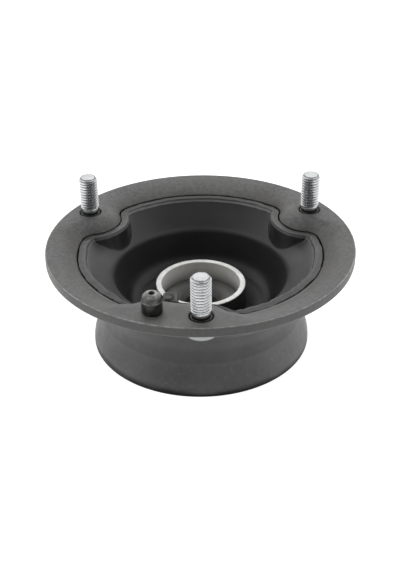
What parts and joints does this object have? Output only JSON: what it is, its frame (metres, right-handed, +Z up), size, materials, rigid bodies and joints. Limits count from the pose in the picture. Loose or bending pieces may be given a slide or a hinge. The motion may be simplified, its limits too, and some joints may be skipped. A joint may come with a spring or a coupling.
{
  "type": "strut mount",
  "caption": "Round strut top mount: dished steel plate with threaded studs and a locating pin, black rubber cup, flared skirt and a ball bearing round the rod hub.",
  "frame": {"origin": "the centre of the skirt's bottom rim, on the strut's axis, which is the centre of the bottom of the part's box", "axes": "+Z runs up the strut's axis towards the strut tower, -Y points to the front stud, +X to the right as the picture sees it"},
  "size_m": [0.1304, 0.1304, 0.063],
  "materials": {
    "painted_steel": "dark grey coating with a fine mottled grain, worn brighter along the rim",
    "skirt_steel": "dark grey coating, satin",
    "zinc_steel": "bright zinc plating",
    "black_steel": "blackened steel, semi-gloss",
    "rubber": "moulded black rubber, matte",
    "sleeve_steel": "turned and plated steel, light",
    "bearing_steel": "ground bearing steel",
    "cage_plastic": "moulded natural plastic",
    "seal_rubber": "smooth black rubber",
    "hub_steel": "turned steel, dull grey",
    "spring_steel": "blued spring steel"
  },
  "bodies": {
    "mount": {"mounting_plate": "painted_steel", "stud_front": "zinc_steel", "stud_left": "zinc_steel", "stud_right": "zinc_steel", "locating_pin": "black_steel", "rubber_isolator": "rubber", "lower_skirt": "skirt_steel", "bearing_housing": "sleeve_steel", "bearing_outer_race": "bearing_steel", "upper_seal": "seal_rubber", "lower_seal": "seal_rubber", "retaining_ring": "spring_steel"},
    "rotor": {"bearing_inner_race": "bearing_steel", "rod_hub": "hub_steel"},
    "cage": {"ball_cage": "cage_plastic", "ball_01": "bearing_steel", "ball_02": "bearing_steel", "ball_03": "bearing_steel", "ball_04": "bearing_steel", "ball_05": "bearing_steel", "ball_06": "bearing_steel", "ball_07": "bearing_steel", "ball_08": "bearing_steel", "ball_09": "bearing_steel", "ball_10": "bearing_steel", "ball_11": "bearing_steel", "ball_12": "bearing_steel", "ball_13": "bearing_steel", "ball_14": "bearing_steel"}
  },
  "joints": [
    {"name": "bearing_spin", "type": "hinge", "parent": "mount", "child": "rotor", "pos_m": [0, 0, 0.00805], "axis": [0, 0, 1], "continuous": true},
    {"name": "cage_spin", "type": "hinge", "parent": "mount", "child": "cage", "pos_m": [0, 0, 0.00805], "axis": [0, 0, 1], "continuous": true}
  ],
  "couplings": [
    {"joint": "cage_spin", "follows": "bearing_spin", "ratio": 0.4459}
  ]
}
